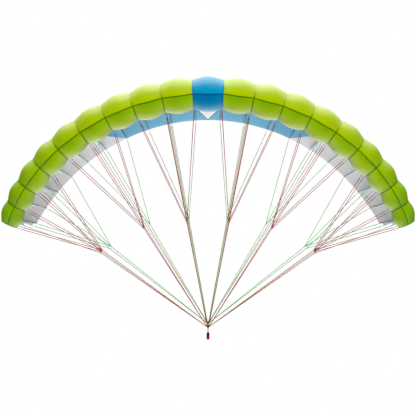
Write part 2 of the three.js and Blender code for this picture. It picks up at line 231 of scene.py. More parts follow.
def ripstopCloth(name, colour, thread, gloss=1.0, tipShadeColour=None, hemSheenColours=None):
    material, tree = freshMaterial(name, roughness=ripstop["roughness"])
    glossAtEdges(tree, gloss)
    cloth = uvOf(tree, "clothMap")
    place = objectPlace(tree)
    across, fromHem = partsOf(cloth)[:2]
    fromSeam, alongSeam = partsOf(uvOf(tree, "seamMap"))[:2]
    level = partsOf(place)["Z"]
    if tipShadeColour:  # painted shade: greener towards the low tips, which lie in shade
        colour = blendColours(smoothRise(level, *ripstop["tipShadeFade"]), tipShadeColour, colour)
    if hemSheenColours:  # painted sheen where the lip turns under: lighter towards the hem and pale at its edge, but plain at the tips
        plain = smoothRise(level, *ripstop["hemSheenTip"])
        fade = smoothRise(fromHem, *ripstop["hemSheenFade"])
        colour = blendColours(work("MAXIMUM", fade, plain), hemSheenColours[0], colour)
        edge = smoothRise(fromHem, *ripstop["hemSheenEdge"])
        edge = work("MULTIPLY", edge, work("SUBTRACT", 1.0, plain))
        colour = blendColours(edge, colour, hemSheenColours[1])
    grid = threadGrid(cloth)
    mottle = noise(place, ripstop["mottle"])
    shade = work("MULTIPLY_ADD", mottle, ripstop["mottleShade"], 1 - ripstop["mottleShade"] / 2)
    shade = work("MULTIPLY", shade, work("MULTIPLY_ADD", grid, -ripstop["threadShade"], 1.0))
    grey = addNode(tree, "CombineColor", shade, shade, shade).outputs[0]
    dyed = blendColours(1, colour, grey, "MULTIPLY")
    sewn = stitches(fromSeam, alongSeam, ripstop["seamRows"])
    sewn = work("MAXIMUM", sewn, stitches(fromHem, across, (ripstop["hemRow"],)))
    crinkle = noise(place, ripstop["crinkle"], ripstop["crinkleDetail"])
    height = work("MULTIPLY_ADD", grid, ripstop["threadRise"], crinkle)
    height = work("MULTIPLY_ADD", sewn, ripstop["stitchRise"], height)
    return finishMaterial(material, blendColours(sewn, dyed, thread), height, ripstop)


# The lime cloth's tip colour is painted shade: greener low down at the tips
limeCloth = ripstopCloth("lime_ripstop", tint(174, 200, 0), tint(120, 150, 10), tipShadeColour=tint(142, 194, 0))
# The lip cloths are darker copies of the lime and blue cloths: painted shade on the lip under the nose,
# with painted sheen at the hem
shadedLimeLip = ripstopCloth("lime_lip_shaded_ripstop", tint(129, 174, 0), tint(110, 140, 10), gloss=0.22,
                       hemSheenColours=(tint(168, 200, 26), tint(178, 196, 114)))
shadedBlueLip = ripstopCloth("blue_lip_shaded_ripstop", tint(0, 113, 168), tint(0, 80, 140), gloss=0.4,
                       hemSheenColours=(tint(4, 140, 190), tint(60, 150, 190)))
blueCloth = ripstopCloth("blue_ripstop", tint(0, 150, 192), tint(0, 90, 154))
# The rear blue is the blue cloth painted paler: painted light shining through the thin cloth
backlitBlueCloth = ripstopCloth("backlit_blue_ripstop", tint(78, 160, 198), tint(60, 112, 150), gloss=0.1)
greyCloth = ripstopCloth("grey_ripstop", tint(230, 230, 232), tint(130, 134, 140), gloss=0.1)
whiteCloth = ripstopCloth("white_ripstop", tint(244, 240, 242), tint(150, 152, 160), gloss=0.1)
ribCloth = ripstopCloth("rib_ripstop", tint(228, 234, 238), tint(120, 128, 134), gloss=0.05)

# Woven tape: fine ribs along it, fading into the cloth at its far end where a second colour is given
tape = {
    "ribs": 7, "grain": 400, "worn": 0.6, "wornShare": 0.4,
    "grainRise": 0.5, "bump": 0.0004, "bumpStrength": 0.5,
}


def tapeCloth(name, colour, faded=None, fadedTipShade=None, fadeFrom=0.0):
    material, tree = freshMaterial(name, roughness=0.5, specularIorLevel=0.1)
    across, along = partsOf(uvOf(tree, "clothMap"))[:2]
    place = objectPlace(tree)
    ridge = work("SINE", work("MULTIPLY", across, 2 * math.pi * tape["ribs"]))
    grain = noise(place, tape["grain"], detail=2)
    wear = work("MULTIPLY", grain, tape["wornShare"])
    shown = blendColours(wear, colour, darker(colour, tape["worn"]))
    if faded:
        # painted shade: the faded end also turns greener towards the tips
        rise = smoothRise(partsOf(place)["Z"], *ripstop["tipShadeFade"])
        faded = blendColours(rise, fadedTipShade, faded)
        shown = blendColours(smoothRise(along, fadeFrom, 1), shown, faded)
        glossAtEdges(tree, gloss=1.0)
    height = work("MULTIPLY_ADD", grain, tape["grainRise"], ridge)
    return finishMaterial(material, shown, height, tape)


greenTape = tapeCloth("dark_green_tape", tint(74, 131, 0))
# Batten pockets: dark green, fading into the cloth; their longer ends towards the tips are painted shade in
# the creases between cells
greenPocketAndCreaseShade = tapeCloth("dark_green_pocket_and_crease_shade", tint(66, 112, 0), tint(164, 196, 0), tint(138, 190, 0),
                        fadeFrom=0.6)
blueTape = tapeCloth("dark_blue_tape", tint(0, 84, 150))
slateTape = tapeCloth("slate_tape", tint(104, 113, 120))
navyTape = tapeCloth("navy_tape", tint(40, 60, 84))
greyWebbing = tapeCloth("grey_webbing", tint(150, 156, 160))

# Braided line cover: two sets of strands that cross, with painted shade in the hollows between them
braid = {"strands": 4, "pitch": 0.006, "shade": 0.35, "bump": 0.0005, "bumpStrength": 0.7}


def braidedCover(name, colour):
    material, tree = freshMaterial(name, roughness=0.6, specularIorLevel=0.1)
    around, along = partsOf(uvOf(tree, "clothMap"))[:2]
    around = work("MULTIPLY", around, 2 * math.pi * braid["strands"])
    along = work("MULTIPLY", along, math.pi * braid["strands"] / braid["pitch"])
    left = work("SINE", work("ADD", around, along))
    right = work("SINE", work("SUBTRACT", around, along))
    height = work("MULTIPLY_ADD", work("MAXIMUM", left, right), 0.5, 0.5)  # 0 to 1
    # painted shade: darker where the strands dip
    shown = blendColours(height, darker(colour, 1 - braid["shade"]), colour)
    return finishMaterial(material, shown, height, braid)


redCover = braidedCover("red_braid", tint(188, 16, 44))
oliveCover = braidedCover("olive_braid", tint(184, 180, 90))
greenCover = braidedCover("green_braid", tint(60, 215, 60))
blackCover = braidedCover("black_braid", tint(30, 30, 32))

# Foam rubber of the grips and hard plastic of the caps
foam = {
    "speckle": 900, "rub": 25, "rubShare": 0.5, "wear": 0.45,
    "pores": 1800, "bump": 0.0003, "bumpStrength": 0.6,
}
hardCap = {
    "scuff": 120, "wear": 0.4, "scuffDull": 0.25, "polish": 0.28,
    "dents": 700, "bump": 0.0001, "bumpStrength": 0.3,
}


def gripFoam(name, colour, worn):
    material, tree = freshMaterial(name, roughness=0.75, specularIorLevel=0.0)
    place = objectPlace(tree)
    speckle = noise(place, foam["speckle"], detail=2)
    rubbed = work("MULTIPLY", noise(place, foam["rub"], detail=4), foam["rubShare"])
    share = work("MULTIPLY", work("ADD", speckle, rubbed), foam["wear"])
    shown = blendColours(share, colour, worn)
    return finishMaterial(material, shown, noise(place, foam["pores"]), foam)


def capPlastic(name, colour, worn):
    material, tree = freshMaterial(name, specularIorLevel=0.15)
    place = objectPlace(tree)
    scuff = noise(place, hardCap["scuff"], detail=5)
    shown = blendColours(work("MULTIPLY", scuff, hardCap["wear"]), colour, worn)
    dull = work("MULTIPLY_ADD", scuff, hardCap["scuffDull"], hardCap["polish"])
    tree.links.new(dull, principled(tree).inputs["Roughness"])
    return finishMaterial(material, shown, noise(place, hardCap["dents"], detail=2), hardCap)


redFoam = gripFoam("red_foam", tint(200, 4, 18), tint(208, 22, 34))
blackFoam = gripFoam("black_foam", tint(24, 24, 26), tint(52, 52, 54))
redPlastic = capPlastic("red_plastic", tint(178, 2, 14), tint(186, 14, 26))
blackPlastic = capPlastic("black_plastic", tint(20, 20, 22), tint(60, 60, 62))
print("materials made:", len(bpy.data.materials))

# Mesh helpers
creases = {"cloth": 50, "bar": 35}  # edges sharper than these, in degrees, stay hard


def deselectAll():
    bpy.ops.object.select_all(action="DESELECT")


def pick(piece):  # the one selected and active object
    deselectAll()
    piece.select_set(True)
    bpy.context.view_layer.objects.active = piece


def smooth(kind):
    bpy.ops.object.shade_smooth_by_angle(angle=math.radians(creases[kind]))


def makePiece(name, points, faces, cornerMaps, material):
    mesh = bpy.data.meshes.new(name)
    mesh.from_pydata(np.asarray(points).tolist(), [], [list(face) for face in faces])
    for mapName, corners in cornerMaps.items():
        layer = mesh.uv_layers.new(name=mapName)
        layer.data.foreach_set("uv", np.asarray(corners, np.float32).ravel())
    mesh.materials.append(material)
    return linked(name, mesh)


def gridFaces(rows, columns):
    spots = np.arange(rows * columns).reshape(rows, columns)
    corners = [spots[:-1, :-1], spots[:-1, 1:], spots[1:, 1:], spots[1:, :-1]]
    return np.stack(corners, -1).reshape(-1, 4)


def cornerMap(faces, across, along):
    return np.stack(np.broadcast_arrays(across, along), -1).reshape(-1, 2)[faces]


def makeCloth(name, points, clothMap, seamMap, material):  # from a grid of points
    faces = gridFaces(*points.shape[:2])
    maps = {"clothMap": cornerMap(faces, *clothMap), "seamMap": cornerMap(faces, *seamMap)}
    return makePiece(name, points.reshape(-1, 3), faces, maps, material)


def runLength(points, axis):  # distance run along a grid, from its first row or column
    steps = np.linalg.norm(np.diff(points, axis=axis), axis=-1)
    start = np.zeros_like(np.take(steps, [0], axis=axis))
    return np.concatenate([start, np.cumsum(steps, axis=axis)], axis=axis)


def modify(piece, kind, **settings):  # adds a modifier and applies it
    pick(piece)
    change = piece.modifiers.new(kind.lower(), kind)
    assign(change, settings)
    bpy.ops.object.modifier_apply(modifier=change.name)


def thicken(piece, cloth, side, thickPart=None, thickShare=1.0):
    settings = {"thickness": cloth * thickShare, "offset": side}
    if thickPart is not None:  # hems are thicker
        group = piece.vertex_groups.new(name="thick_part")
        group.add([int(spot) for spot in thickPart], 1.0, "REPLACE")
        settings.update(vertex_group=group.name, thickness_vertex_group=1 / thickShare)
    modify(piece, "SOLIDIFY", **settings)
    smooth("cloth")


def dress(piece, slot, *nodes):
    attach(piece, "root")
    if nodes:
        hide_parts(*nodes)


# Canopy: the surface that panels, ribs and tapes share
wing = {
    "archRadius": 1.785, "noseBehindBar": -0.353, "archCentre": 0.146,
    "sideCells": 9, "middleCell": 0.237, "tipCell": 0.166,
    "chord": 1.15, "tipSweep": 0.208, "sweepPower": 4.5, "tipTrim": 0.205,
    "crown": 0.167, "crownPlace": 0.281, "lip": 0.094, "tailDrop": 0.024,
    "billow": 0.12, "softLip": 0.15, "softTop": 0.5, "panelSeam": 0.68, "cloth": 0.0012,
}


def spacedRibs():
    angles = [0.0, wing["middleCell"] / 2 / wing["archRadius"]]
    for cell in range(1, wing["sideCells"] + 1):
        narrowing = (wing["middleCell"] - wing["tipCell"]) * (cell / wing["sideCells"]) ** 2
        angles.append(angles[-1] + (wing["middleCell"] - narrowing) / wing["archRadius"])
    return np.array(angles)


ribAngles = spacedRibs()
tipRib = wing["sideCells"] + 1


def planform(angle):  # place of the nose and length of the chord
    share = np.abs(angle) / ribAngles[tipRib]
    nose = wing["tipSweep"] * share ** wing["sweepPower"]
    return nose, wing["chord"] - wing["tipTrim"] * share**2 - nose


def section(station):  # -1 to 0 runs round the lip, 0 to 1 over the top; unit chord
    station = np.asarray(station, float)
    drop = wing["tailDrop"] / wing["chord"]
    lip = wing["lip"] / wing["chord"]
    turn = np.clip(-station, 0, 1) * math.pi / 2
    top = np.clip(station, 0, 1)
    power = (1 / wing["crownPlace"] - 1) / 2
    peak = math.sqrt(wing["crownPlace"]) * (1 - wing["crownPlace"]) ** power
    scale = wing["crown"] / wing["chord"] / peak
    taper = (1 - top**2) ** power
    bend = 2 * power * top**2 * (1 - top**2) ** (power - 1)
    rise = scale * (taper - bend) - 2 * drop * top
    slope = np.hypot(rise, 2 * top)
    over = station > 0
    back = np.where(over, top**2, lip * (1 - np.cos(turn)))
    up = np.where(over, scale * top * taper, -lip * np.sin(turn)) - drop * back
    normalBack = np.where(over, -rise / slope, -np.cos(turn))
    normalUp = np.where(over, 2 * top / slope, -np.sin(turn))
    return back, up, normalBack, normalUp


def ontoArch(angle, back, height):  # from the plane of one angle into space
    place = [height * np.sin(angle), back + wing["noseBehindBar"],
             height * np.cos(angle) + wing["archCentre"]]
    return np.stack(np.broadcast_arrays(*place), -1)


def cellShare(angle):  # place across its cell, 0 to 1, and the angle that the cell spans
    outer = np.clip(np.searchsorted(ribAngles[1:], np.abs(angle) - tolerance["rib"]) + 1, 1, tipRib)
    middle = outer == 1
    start = np.where(middle, -ribAngles[1], ribAngles[outer - 1])
    span = ribAngles[outer] - start
    return np.clip((np.where(middle, angle, np.abs(angle)) - start) / span, 0, 1), span


def billowShape(across, station):  # round at the hem of the lip, with softer creases above it
    soft = wing["softLip"] + (wing["softTop"] - wing["softLip"]) * np.clip(station + 1, 0, 1)
    return (1 - soft) * 4 * across * (1 - across) + soft * np.sin(math.pi * across) ** 2


def profile(angle, station, offset):  # back and height in the plane of one angle
    nose, chord = planform(angle)
    back, up, normalBack, normalUp = section(station)
    return nose + back * chord + normalBack * offset, wing["archRadius"] + up * chord + normalUp * offset


def skin(angle, station, lift=0.0):
    angle, station = np.broadcast_arrays(np.asarray(angle, float), station)
    across, span = cellShare(angle)
    bulge = billowShape(across, station) * wing["billow"] * span * wing["archRadius"]
    offset = bulge * (1 - np.clip(station, 0, 1) ** 2) + lift
    return ontoArch(angle, *profile(angle, station, offset))


# Front panels: one for each cell, from the hem of the lip round the nose to the panel seam
frontPanel = {
    "columns": 32, "lipRows": 24, "topRows": 64,
    "hem": 0.012, "hemRise": 0.0006, "hemStep": 0.0015, "hemShare": 2.2,
    "pinch": 0.0018, "pinchReach": 0.006, "seamSag": 0.0085, "lipRun": 0.148, "topRun": 0.48,
    "pucker": 0.0009, "puckerStep": 0.023, "puckerReach": 0.018, "puckerDrift": 3, "driftRate": 37,
    "phases": {"middle": 0.4, "left": 1.7, "right": 2.3},
}
lipSteps = np.linspace(0, 1, frontPanel["lipRows"], endpoint=False)[:, None]
topSteps = np.linspace(0, 1, frontPanel["topRows"] + 1)[:, None]


def seamRun(angle):  # the nose seam sags below the nose in the middle of a cell
    share, span = cellShare(angle)
    return -frontPanel["seamSag"] * billowShape(share, 0.0) * span / ribAngles[1] / 2


def runToStation(run):
    return np.where(run < 0, run / frontPanel["lipRun"], run / frontPanel["topRun"])


def nosePinch(angle, station):  # the nose seam lies in a small groove
    run = np.where(station < 0, station * frontPanel["lipRun"], station * frontPanel["topRun"])
    return -frontPanel["pinch"] * np.exp(-(((run - seamRun(angle)) / frontPanel["pinchReach"]) ** 2))


def noseSkin(angle, station, lift):
    return skin(angle, station, nosePinch(angle, station) + lift)


def nearestRib(angle):
    rib = int(np.argmin(np.abs(ribAngles[1:] - abs(angle)))) + 1
    return f"rib_{'left' if angle < 0 else 'right'}_{rib}"


def puckers(seam, along, phase):  # small ripples beside the seams
    drift = frontPanel["puckerDrift"] * np.sin(along * frontPanel["driftRate"] + phase)
    ripple = np.sin(2 * math.pi * along / frontPanel["puckerStep"] + phase + drift)
    reach = seam / frontPanel["puckerReach"]
    return frontPanel["pucker"] * ripple * reach * np.exp(1 - reach)


def addFrontPanel(cell, first, last, phase, material, lipMaterial, slot):
    angles = np.linspace(first, last, frontPanel["columns"] + 1)
    seamStation = runToStation(seamRun(angles))
    station = np.concatenate([-1 + (seamStation + 1) * lipSteps,
                              seamStation + (wing["panelSeam"] - seamStation) * topSteps])
    angle = np.broadcast_to(angles, station.shape)
    plain = skin(angle, station)
    along = runLength(plain, 0)
    across = runLength(plain, 1)
    seam = np.minimum(across, across[:, -1:] - across)
    lift = puckers(seam, along, phase)
    lift += frontPanel["hemRise"] * np.clip((frontPanel["hem"] - along) / frontPanel["hemStep"], 0, 1)
    points = noseSkin(angle, station, lift)
    piece = makeCloth(f"front_panel_{cell}", points, (across, along), (seam, along), material)
    piece.data.materials.append(lipMaterial)
    for number in range(frontPanel["lipRows"] * frontPanel["columns"]):
        piece.data.polygons[number].material_index = 1
    hemSpots = np.flatnonzero((along < frontPanel["hem"]).ravel())
    thicken(piece, wing["cloth"], -1, hemSpots, frontPanel["hemShare"])
    dress(piece, slot, f"cell_{cell}")
    ribs = sorted({nearestRib(first), nearestRib(last)})


addFrontPanel("middle", -ribAngles[1], ribAngles[1], frontPanel["phases"]["middle"],
              blueCloth, shadedBlueLip, "blue_cloth")
for cell in range(1, tipRib):
    for sideName, side in wingSides.items():
        first, last = sorted((side * ribAngles[cell], side * ribAngles[cell + 1]))
        phase = cell * frontPanel["phases"][sideName]
        addFrontPanel(f"{sideName}_{cell}", first, last, phase, limeCloth, shadedLimeLip, "lime_cloth")
print("front panels sewn: 19")

# Rear cloth: one sheet cut along two slanted seams and round the inlay
rearCloth = {
    "cellColumns": 14, "rows": 46, "hem": 0.011, "hemShare": 2.4, "flatShare": 1.06,
    "blueRib": 4, "blueFlare": 0.34, "seamNear": 0.4, "seamFar": 1.5,
    "inlayWidth": 0.255, "inlayLength": 0.29, "inlayFromTail": 0.01, "inlayBeside": 0.01,
}
# Part: name, cloth, slot, the node it stands for, what carries it
rearParts = {
    "middle": ("rear_panel_blue", backlitBlueCloth, "blue_cloth", "rear_middle",
               ["rib_left_1", "rib_right_1"]),
    "inlay": ("rear_panel_inlay", whiteCloth, "white_cloth", "rear_inlay", ["rear_panel_blue"]),
    "left": ("rear_panel_left", greyCloth, "grey_cloth", "rear_left", ["rib_left_7"]),
    "right": ("rear_panel_right", greyCloth, "grey_cloth", "rear_right", ["rib_right_7"]),
}
inlayPoint = wing["noseBehindBar"] + wing["chord"] - rearCloth["inlayFromTail"]
inlayBase = inlayPoint - rearCloth["inlayLength"]
inlaySlope = rearCloth["inlayWidth"] / 2 / rearCloth["inlayLength"]


def slantSeam(side):  # the plane of the seam between blue and grey
    tailAngle = side * ribAngles[rearCloth["blueRib"]]
    seamAngle = tailAngle + side * rearCloth["blueFlare"] / wing["archRadius"]
    tail = Vector(skin(tailAngle, 1.0))
    front = Vector(skin(seamAngle, wing["panelSeam"]))
    middle = (tailAngle + seamAngle) / 2
    away = (front - tail).cross(Vector((math.sin(middle), 0, math.cos(middle)))).normalized()
    return tail, away if away.x * side > 0 else -away


def cellFan(steps):  # angles across the whole span
    signed = [-angle for angle in ribAngles[:0:-1]] + list(ribAngles[1:])
    fan = [np.linspace(one, two, steps, endpoint=False) for one, two in zip(signed, signed[1:])]
    return np.concatenate([*fan, [signed[-1]]])


def rearSheet():  # all the cloth behind the panel seam
    backs = np.linspace(wing["panelSeam"] ** 2, 1, rearCloth["rows"] + 1)
    angle, station = np.meshgrid(cellFan(rearCloth["cellColumns"]), np.sqrt(backs))
    points = skin(angle, station)
    fromTail = runLength(points[::-1], 0)[::-1]
    ribGap = np.abs(np.abs(angle)[..., None] - ribAngles[1:]).min(-1) * wing["archRadius"]
    clothMap = (runLength(points, 1), fromTail)
    return makeCloth("rear_whole", points, clothMap, (ribGap, fromTail), backlitBlueCloth)


def bisectNear(shape, place, normal, isNear):  # cuts the faces whose middles are near the seam
    faces = [face for face in shape.faces if isNear(face.calc_center_median().x)]
    geometry = list({part for face in faces for part in (face, *face.edges, *face.verts)})
    bmesh.ops.bisect_plane(shape, geom=geometry, plane_co=place, plane_no=normal,
                           dist=tolerance["weld"])


def cutRear(shape, planes):
    for place, away in planes.values():
        side = math.copysign(1, away.x)
        bisectNear(shape, place, away, lambda x: rearCloth["seamNear"] < x * side < rearCloth["seamFar"])
    inlayReach = rearCloth["inlayWidth"] / 2 + rearCloth["inlayBeside"]
    inlayCuts = [(inlayBase, (0, 1, 0))]
    inlayCuts += [(inlayPoint, (side, inlaySlope, 0)) for side in wingSides.values()]
    for back, away in inlayCuts:
        away = Vector(away).normalized()
        bisectNear(shape, Vector((0, back, 0)), away, lambda x: abs(x) < inlayReach)


def rearPart(face, planes):  # which of the four pieces a face belongs to
    middle = face.calc_center_median()
    if inlayBase < middle.y < inlayPoint and abs(middle.x) < (inlayPoint - middle.y) * inlaySlope:
        return "inlay"
    for name, (place, away) in planes.items():
        if (middle - place).dot(away) > 0 and middle.x * away.x > 0:
            return name
    return "middle"


def tailDistance(points):
    angle = np.arctan2(points[:, 0], points[:, 2] - wing["archCentre"])
    nose, chord = planform(angle)
    return nose + chord + wing["noseBehindBar"] - points[:, 1]


def addRearPart(shape, planes, part, name, material, slot, node, carriers):
    cut = shape.copy()
    others = [face for face in cut.faces if rearPart(face, planes) != part]
    bmesh.ops.delete(cut, geom=others, context="FACES")
    mesh = bpy.data.meshes.new(name)
    cut.to_mesh(mesh)
    area = sum(face.calc_area() for face in cut.faces)
    cut.free()
    mesh.materials.append(material)
    piece = linked(name, mesh)
    placed = np.array([spot.co for spot in mesh.vertices])
    turned = np.arctan2(placed[:, 0], placed[:, 2] - wing["archCentre"]) * wing["archRadius"]
    flat = tuple(float(np.ptp(run)) * rearCloth["flatShare"] for run in (turned, placed[:, 1]))
    hem = np.flatnonzero(tailDistance(placed) < rearCloth["hem"])
    thicken(piece, wing["cloth"], -1, hem, rearCloth["hemShare"])
    dress(piece, slot, node)
    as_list(carriers)


def addRearCloth():
    whole = rearSheet()
    planes = {sideName: slantSeam(side) for sideName, side in wingSides.items()}
    shape = bmesh.new()
    shape.from_mesh(whole.data)
    cutRear(shape, planes)
    for part, finish in rearParts.items():
        addRearPart(shape, planes, part, *finish)
    shape.free()
    bpy.data.objects.remove(whole)


addRearCloth()
print("rear cloth cut and sewn: blue, inlay, two greys")

# Ribs: flat cloth under each seam, with arches between the line tabs
ribCut = {
    "fullRibs": (2, 5, 8, 10), "tabWidth": 0.014, "archSteps": 22, "noseSteps": 26, "rows": 7,
    "underCloth": 0.0018, "intoCloth": 0.0006, "hem": 0.008, "hemFrom": 0.4,
    "ripple": 0.0014, "rippleBack": 24, "rippleUp": 31,
}
# Line tabs: row, share of the chord, depth as a share of the chord, rise of the arch behind it
fullTabs = (("a", 0.1, 0.208, 0.04), ("b", 0.25, 0.205, 0.075), ("c", 0.43, 0.19, 0.065),
            ("d", 0.68, 0.13, 0.02), ("tail", 0.981, 0.01, 0))
shortTabs = (("a", 0.1, 0.208, 0.04), ("b", 0.25, 0.205, 0.05), ("tail", 0.981, 0.01, 0))


def tabsOf(rib):
    return fullTabs if rib in ribCut["fullRibs"] else shortTabs


def ribEdge(angle, station, inset):  # the cloth's underside in the plane of a rib
    return np.stack(profile(angle, station, -inset), -1)


def ribLower(angle, back, depth):
    nose, chord = planform(angle)
    roof = ribEdge(angle, np.sqrt(back), ribCut["underCloth"])[..., 1]
    return np.stack([nose + back * chord, roof - depth * chord], -1)


def ribOutline(angle, tabs):  # matching points on the upper and the lower edge
    nose, chord = planform(angle)
    half = ribCut["tabWidth"] / 2 / chord
    noseStations = np.linspace(-1, math.sqrt(tabs[0][1] - half), ribCut["noseSteps"], endpoint=False)
    lipEnd = ribEdge(angle, -1.0, ribCut["intoCloth"])
    firstLow = ribLower(angle, tabs[0][1], tabs[0][2])
    firstLow[0] -= ribCut["tabWidth"] / 2
    steps = np.linspace(0, 1, ribCut["noseSteps"], endpoint=False)[:, None]
    upper = [ribEdge(angle, noseStations, ribCut["intoCloth"])]
    lower = [lipEnd + (firstLow - lipEnd) * steps]
    for index, tab in enumerate(tabs):
        back, depth, arch = tab[1:]
        ends = np.array([back - half, back + half])
        low = ribLower(angle, np.array([back, back]), depth)
        low[:, 0] = nose + ends * chord
        upper.append(ribEdge(angle, np.sqrt(ends), ribCut["intoCloth"]))
        lower.append(low)
        if index + 1 < len(tabs):
            behind = tabs[index + 1]
            share = np.linspace(0, 1, ribCut["archSteps"] + 1)[1:-1]
            backs = ends[1] + (behind[1] - half - ends[1]) * share
            depths = depth + (behind[2] - depth) * share - arch * 4 * share * (1 - share)
            upper.append(ribEdge(angle, np.sqrt(backs), ribCut["intoCloth"]))
            lower.append(ribLower(angle, backs, depths))
    return np.concatenate(upper), np.concatenate(lower)


def mergeSpots(piece):
    shape = bmesh.new()
    shape.from_mesh(piece.data)
    bmesh.ops.remove_doubles(shape, verts=shape.verts, dist=tolerance["weld"])
    bmesh.ops.dissolve_degenerate(shape, edges=shape.edges, dist=tolerance["weld"])
    shape.to_mesh(piece.data)
    shape.free()


def addRib(sideName, rib):
    angle = wingSides[sideName] * ribAngles[rib]
    upper, lower = ribOutline(angle, tabsOf(rib))
    depth = np.linalg.norm(lower - upper, axis=1)
    hemStart = 1 - ribCut["hem"] / np.maximum(depth, tolerance["weld"])
    hemStart = np.clip(hemStart, ribCut["hemFrom"], 1)
    shares = np.linspace(0, 1, ribCut["rows"])[:, None] * hemStart
    shares = np.concatenate([shares, np.ones_like(shares[:1])])
    flat = upper + (lower - upper) * shares[..., None]
    back, height = flat[..., 0], flat[..., 1]
    belly = np.sin(np.pi * shares) * ribCut["ripple"]
    sideways = belly * np.sin(back * ribCut["rippleBack"] + rib)
    sideways *= np.sin(height * ribCut["rippleUp"] + 2 * rib)
    points = ontoArch(angle, back, height)
    points += sideways[..., None] * np.array([math.cos(angle), 0, -math.sin(angle)])
    clothMap = (back, depth * (1 - shares))
    piece = makeCloth(f"rib_panel_{sideName}_{rib}", points, clothMap, (depth * shares, back), ribCloth)
    mergeSpots(piece)
    thicken(piece, wing["cloth"], 0)
    dress(piece, "rib_cloth", f"rib_{sideName}_{rib}")
    f"front_panel_{sideName}_{min(rib, wing['sideCells'])}"


for rib in range(1, tipRib + 1):
    for sideName in wingSides:
        addRib(sideName, rib)
print("ribs sewn: 20")


# Joined small things: points, faces and map corners are gathered, then made one mesh
def newBasket():
    return {"points": [], "faces": [], "corners": []}


def put(basket, points, faces, corners):
    start = len(basket["points"])
    basket["points"].extend(np.asarray(points).reshape(-1, 3).tolist())
    basket["faces"].extend([start + int(spot) for spot in face] for face in faces)
    basket["corners"].extend(np.asarray(corners, float).reshape(-1, 2).tolist())


def empty(basket, name, material):
    return makePiece(name, basket["points"], basket["faces"], {"clothMap": basket["corners"]}, material)


def addTape(name, strips, material, slot, thick):  # each strip: a grid of points, its map across and along
    basket = newBasket()
    for points, across, along in strips:
        faces = gridFaces(*points.shape[:2])
        put(basket, points, faces, cornerMap(faces, across, along))
    piece = empty(basket, name, material)
    thicken(piece, thick, 0)
    dress(piece, slot)


# Tapes: nose seam, batten pockets round the nose, seams under the rear cloth; towards the tips the pockets
# run on over the top as painted crease shade
tapes = {
    "noseHalf": 0.0038, "noseLift": 0.0005, "noseSteps": 18,
    "pocketHalf": 0.0034, "bluePocketHalf": 0.00136, "pocketLift": 0.0008, "pocketOver": 0.0006,
    "pocketEnd": 0.15, "tipPocketShadeEnd": 0.42, "pocketRows": 60,
    "underHalf": 0.004, "underFrom": 0.3, "underTo": 0.99, "underRows": 60, "underDrop": 0.0005,
    "inlayHalf": 0.0035, "inlaySteps": 24, "thick": 0.0007,
}
tapeSpan = np.linspace(-1, 1, 5)  # five rows of points across a tape
inlaySpan = np.linspace(-1, 1, 3)
underCloth = -wing["cloth"] - tapes["underDrop"]


def noseStrips(spans):
    for first, last in spans:
        angle, offset = np.meshgrid(np.linspace(first, last, tapes["noseSteps"] + 1), tapeSpan)
        station = runToStation(seamRun(angle) + offset * tapes["noseHalf"])
        points = noseSkin(angle, station, tapes["noseLift"])
        yield points, tapeSpan[:, None] / 2, runLength(points, 1)


def acrossRib(rib, offsets, stations):  # a grid of angles and stations beside one rib
    angle = math.copysign(ribAngles[abs(rib)], rib)
    return np.meshgrid(angle + offsets / wing["archRadius"], stations)


def pocketStrips(ribs, half):
    rows = tapes["pocketRows"] // 2
    for rib in ribs:
        # towards the tips the dark strip runs on over the top: painted shade in the crease
        end = np.interp(abs(rib), (tipRib / 2, tipRib), (tapes["pocketEnd"], tapes["tipPocketShadeEnd"]))
        stations = np.concatenate([np.linspace(-1, 0, rows, endpoint=False), np.linspace(0, end, rows)])
        offsets = tapeSpan * half
        if abs(rib) == tipRib:  # the tip has cloth on its inner side only
            offsets = np.linspace(-half, tapes["pocketOver"], len(tapeSpan))
            offsets = np.sort(offsets * math.copysign(1, rib))
        points = noseSkin(*acrossRib(rib, offsets, stations), tapes["pocketLift"])
        along = runLength(points, 0)
        yield points, tapeSpan / 2, along / along[-1]


def underStrips(ribs):
    stations = np.linspace(tapes["underFrom"], tapes["underTo"], tapes["underRows"])
    for rib in ribs:
        points = skin(*acrossRib(rib, tapeSpan * tapes["underHalf"], stations), underCloth)
        yield points, tapeSpan / 2, runLength(points, 0)


def inlayStrips():  # dark edging on the two long sides of the inlay
    backs = np.linspace(inlayBase, inlayPoint, tapes["inlaySteps"])[:, None]
    for side in wingSides.values():
        x = side * (inlayPoint - backs) * inlaySlope + inlaySpan * tapes["inlayHalf"]
        angle = np.arcsin(x / wing["archRadius"])
        nose, chord = planform(angle)
        station = np.sqrt((backs - wing["noseBehindBar"] - nose) / chord)
        points = skin(angle, np.minimum(station, 1), underCloth)
        yield points, inlaySpan / 2, runLength(points, 0)


def ribsBothSides(first, last):
    return [side * rib for rib in range(first, last + 1) for side in wingSides.values()]


sideSpans = [(ribAngles[cell], ribAngles[cell + 1]) for cell in range(1, tipRib)]
limeSpans = sideSpans + [(-far, -near) for near, far in sideSpans]
limePocketsAndCreaseShade = pocketStrips(ribsBothSides(2, tipRib), tapes["pocketHalf"])
bluePockets = pocketStrips(ribsBothSides(1, 1), tapes["bluePocketHalf"])
blueSeams = underStrips(ribsBothSides(1, rearCloth["blueRib"]))
greySeams = underStrips(ribsBothSides(rearCloth["blueRib"] + 1, tipRib))
